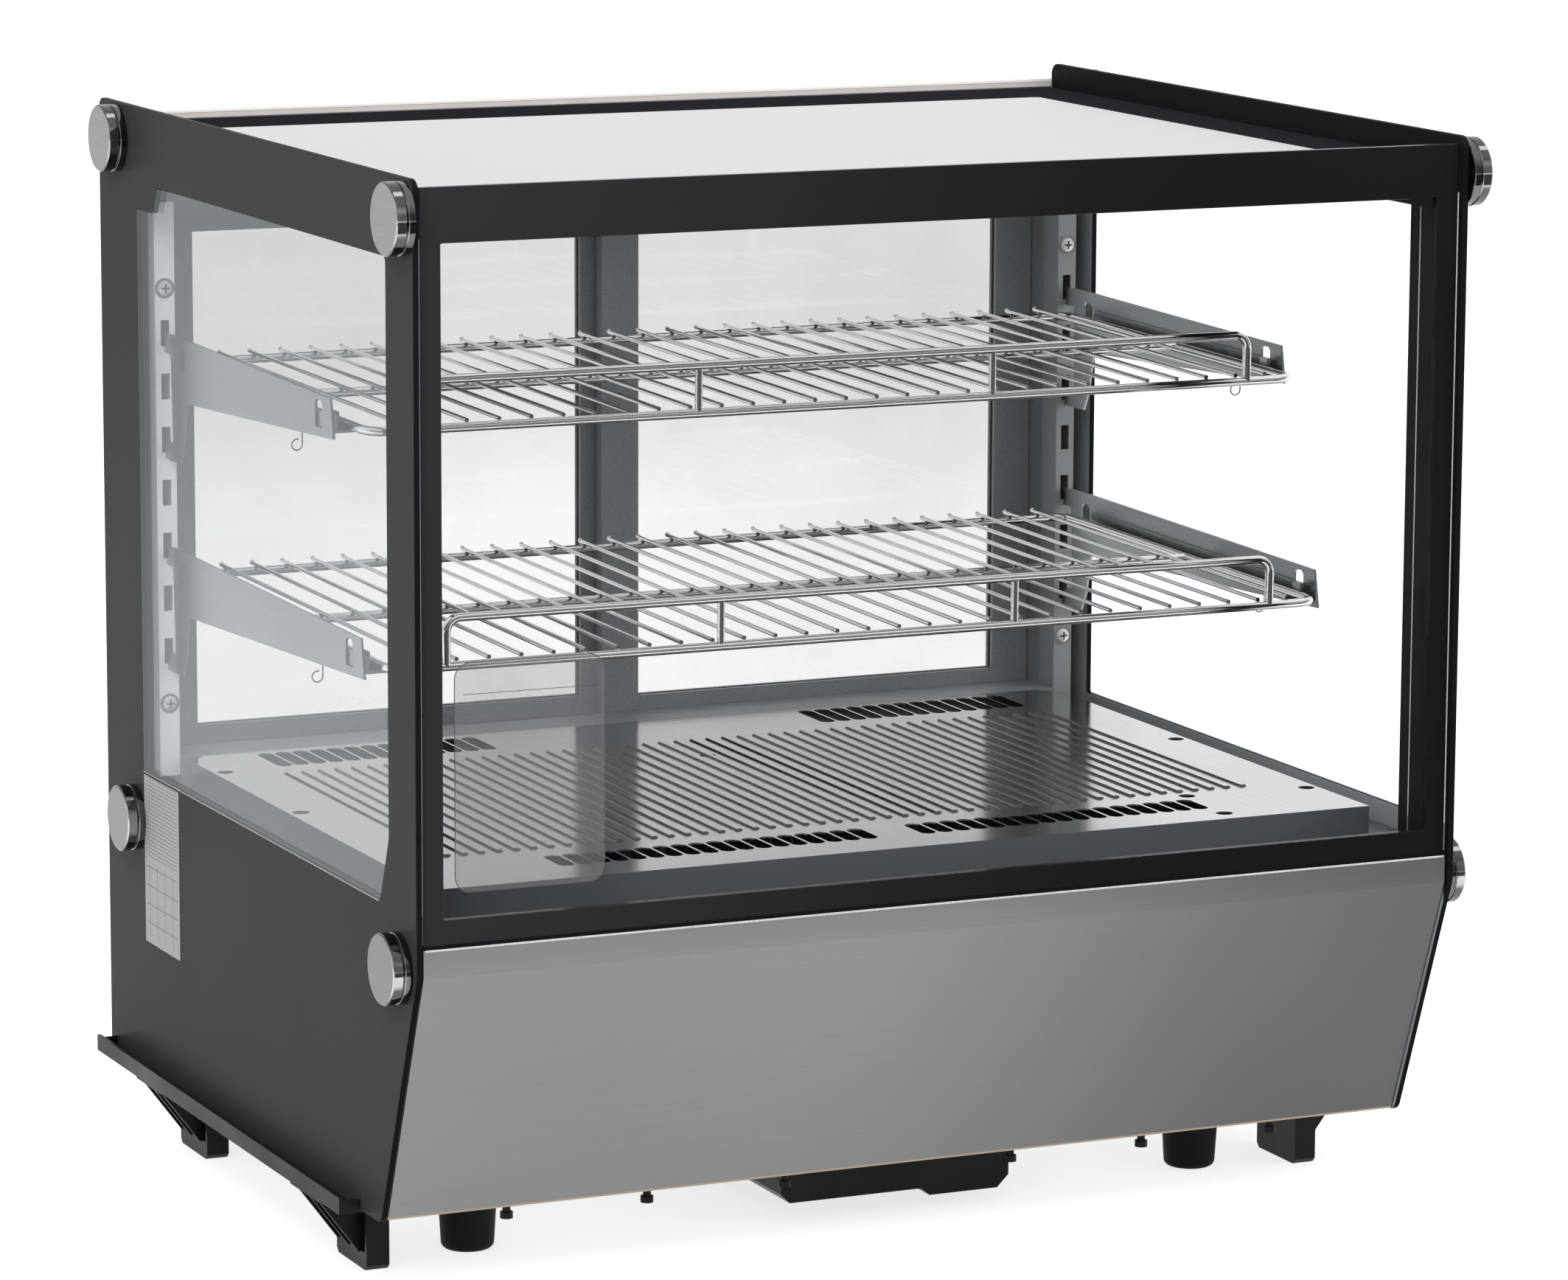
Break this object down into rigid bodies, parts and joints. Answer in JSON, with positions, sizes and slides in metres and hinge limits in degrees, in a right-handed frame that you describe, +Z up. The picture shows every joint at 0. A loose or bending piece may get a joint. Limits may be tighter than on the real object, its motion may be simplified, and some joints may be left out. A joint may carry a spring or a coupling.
{
  "type": "countertop refrigerated display case",
  "caption": "Countertop refrigerated glass display case with a slanted steel front, wire shelves on hooked brackets, sliding rear doors and a pull-out drip tray.",
  "frame": {"origin": "on the counter, below the middle of the glass case", "axes": "+X to the right seen from the customer's side, +Y to the back, where the doors are, +Z up"},
  "size_m": [0.73, 0.5757, 0.686],
  "materials": {
    "clear_glass": "polished float glass with a printed black border",
    "brushed_steel": "fine brushed stainless steel",
    "mirror_chrome": "bright polished plating",
    "grey_standard": "satin light grey coating",
    "grey_frame": "satin mid grey",
    "galvanised_sheet": "plain zinc-grey sheet",
    "black_plastic": "moulded black, fine grain",
    "gloss_black": "polished black",
    "black_rubber": "matt black rubber",
    "white_liner": "smooth white",
    "aluminium": "plain mill finish",
    "black_enamel": "gloss black enamel",
    "copper": "bare copper"
  },
  "bodies": {
    "case": {"side_glass_left": "clear_glass", "side_glass_right": "clear_glass", "front_glass": "clear_glass", "top_glass": "clear_glass", "steel_front": "brushed_steel", "deck_panel": "brushed_steel", "knob_caps": "brushed_steel", "standard_screws": "brushed_steel", "rear_panel_screws": "brushed_steel", "base_screws": "brushed_steel", "knob_bases": "mirror_chrome", "knob_studs": "mirror_chrome", "shelf_standards": "grey_standard", "rear_posts": "grey_frame", "rear_header": "grey_frame", "rear_sill": "grey_frame", "base_pan": "galvanised_sheet", "rear_panel": "galvanised_sheet", "tray_runners": "galvanised_sheet", "condensate_channels": "black_plastic", "corner_legs": "black_plastic", "evaporator_fan_housing": "black_plastic", "condenser_fan_housing": "black_plastic", "controller_case": "black_plastic", "switch_frames": "black_plastic", "controller_lens": "gloss_black", "front_glass_gasket": "black_rubber", "rubber_feet": "black_rubber", "compressor_grommets": "black_rubber", "cable_gland": "black_rubber", "insulated_tub": "white_liner", "drain_tube": "white_liner", "lamp_lens": "white_liner", "glass_frame_bars": "aluminium", "lamp_channel": "aluminium", "evaporator": "aluminium", "condenser": "aluminium", "compressor": "black_enamel", "refrigerant_pipes": "copper", "filter_drier": "copper"},
    "upper_brackets": {"upper_brackets": "brushed_steel"},
    "lower_brackets": {"lower_brackets": "brushed_steel"},
    "upper_shelf": {"upper_shelf": "mirror_chrome", "upper_shelf_rail": "mirror_chrome"},
    "lower_shelf": {"lower_shelf": "mirror_chrome", "lower_shelf_rail": "mirror_chrome"},
    "left_door": {"left_door_frame": "grey_frame", "left_door_glass": "clear_glass", "left_door_glides": "black_plastic"},
    "right_door": {"right_door_frame": "grey_frame", "right_door_glass": "clear_glass", "right_door_glides": "black_plastic"},
    "drip_tray": {"drip_tray": "black_plastic"},
    "evaporator_fan": {"evaporator_fan_rotor": "black_plastic"},
    "condenser_fan": {"condenser_fan_rotor": "black_plastic"},
    "set_key": {"set_key": "gloss_black"},
    "up_key": {"up_key": "gloss_black"},
    "down_key": {"down_key": "gloss_black"},
    "power_rocker": {"power_rocker": "gloss_black"},
    "light_rocker": {"light_rocker": "gloss_black"}
  },
  "joints": [
    {"name": "upper_brackets_unhook", "type": "slide", "parent": "case", "child": "upper_brackets", "axis": [0, 0, 1], "range_m": [0, 0.005]},
    {"name": "lower_brackets_unhook", "type": "slide", "parent": "case", "child": "lower_brackets", "axis": [0, 0, 1], "range_m": [0, 0.005]},
    {"name": "upper_shelf_lift", "type": "slide", "parent": "upper_brackets", "child": "upper_shelf", "axis": [0, 0, 1], "range_m": [0, 0.06]},
    {"name": "lower_shelf_lift", "type": "slide", "parent": "lower_brackets", "child": "lower_shelf", "axis": [0, 0, 1], "range_m": [0, 0.06]},
    {"name": "left_door_slide", "type": "slide", "parent": "case", "child": "left_door", "axis": [1, 0, 0], "range_m": [0, 0.3]},
    {"name": "right_door_slide", "type": "slide", "parent": "case", "child": "right_door", "axis": [-1, 0, 0], "range_m": [0, 0.3]},
    {"name": "drip_tray_slide", "type": "slide", "parent": "case", "child": "drip_tray", "axis": [0, -1, 0], "range_m": [0, 0.13]},
    {"name": "evaporator_fan_spin", "type": "hinge", "parent": "case", "child": "evaporator_fan", "pos_m": [-0.19, -0.01, 0.2167], "axis": [0, 0, 1], "continuous": true},
    {"name": "condenser_fan_spin", "type": "hinge", "parent": "case", "child": "condenser_fan", "pos_m": [0.17, 0.17, 0.1122], "axis": [0, 1, 0], "continuous": true},
    {"name": "set_key_press", "type": "slide", "parent": "case", "child": "set_key", "axis": [0, -1, 0], "range_m": [0, 0.0008], "stiffness_N_per_m": 300},
    {"name": "up_key_press", "type": "slide", "parent": "case", "child": "up_key", "axis": [0, -1, 0], "range_m": [0, 0.0008], "stiffness_N_per_m": 300},
    {"name": "down_key_press", "type": "slide", "parent": "case", "child": "down_key", "axis": [0, -1, 0], "range_m": [0, 0.0008], "stiffness_N_per_m": 300},
    {"name": "power_rocker_tilt", "type": "hinge", "parent": "case", "child": "power_rocker", "pos_m": [-0.12, 0.278, 0.186], "axis": [1, 0, 0], "range_deg": [0, 16]},
    {"name": "light_rocker_tilt", "type": "hinge", "parent": "case", "child": "light_rocker", "pos_m": [-0.08, 0.278, 0.186], "axis": [1, 0, 0], "range_deg": [0, 16]}
  ]
}
